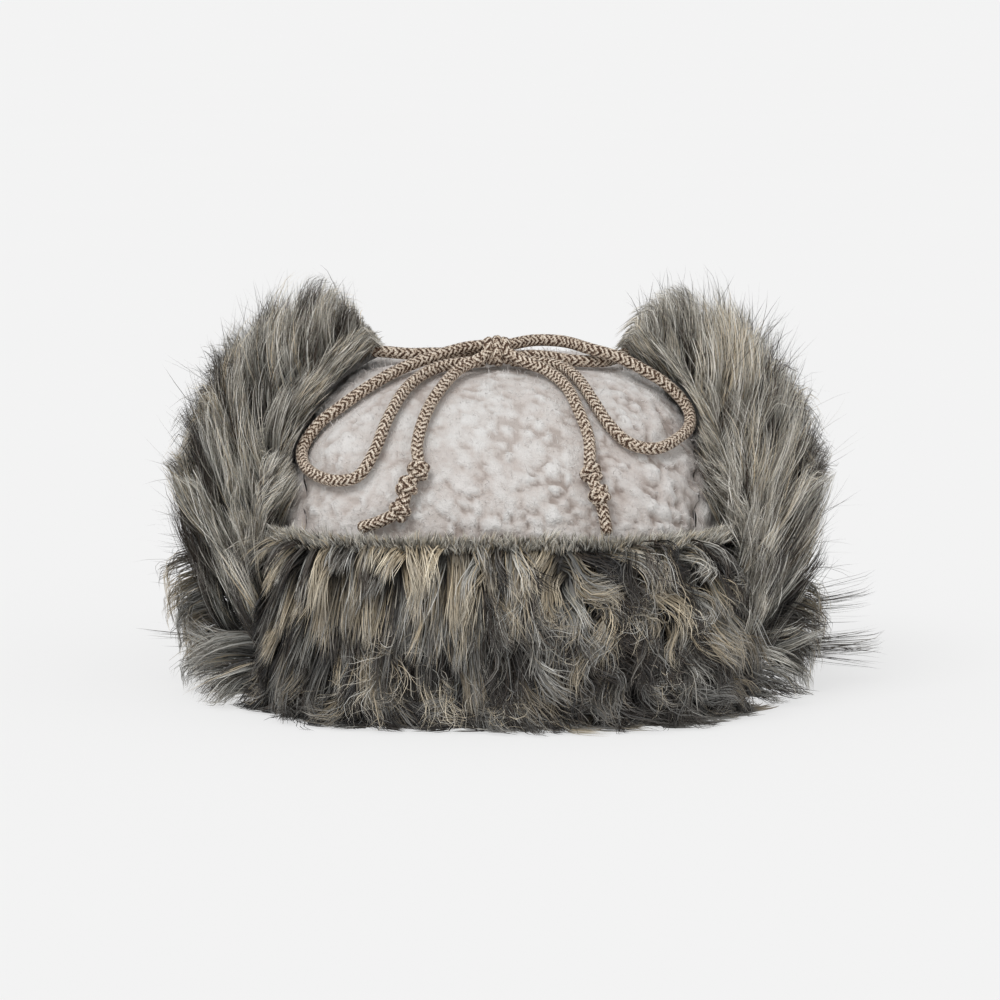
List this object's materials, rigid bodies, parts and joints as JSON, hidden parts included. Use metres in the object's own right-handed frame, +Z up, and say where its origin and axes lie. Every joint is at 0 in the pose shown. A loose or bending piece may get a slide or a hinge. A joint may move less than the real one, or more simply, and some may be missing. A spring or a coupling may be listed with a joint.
{
  "type": "trooper hat",
  "caption": "Trooper hat with a fleece crown and long faux-fur front and ear flaps turned up, the ear flaps tied over the crown with a braided cord bow.",
  "frame": {"origin": "centre of the hat's bounding box on the surface that it rests on, level with the crown's rim", "axes": "+Z up, -Y to the front flap, +X to the wearer's left as seen in the picture's right"},
  "size_m": [0.3092, 0.2816, 0.1693],
  "materials": {
    "fleece": "curly sherpa fleece, matte",
    "fur": "long faux fur, grey, tan and charcoal",
    "braid": "two-tone braided cord, matte"
  },
  "bodies": {
    "root": {"crown_centre_panel": "fleece", "crown_side_left": "fleece", "crown_side_right": "fleece", "front_flap": "fur", "ear_flap_left": "fur", "ear_flap_right": "fur", "tie_cord_left": "braid", "tie_cord_right": "braid", "bow_knot": "braid", "bow_loop_left": "braid", "bow_loop_right": "braid", "bow_tail_left": "braid", "bow_tail_right": "braid"}
  },
  "joints": []
}
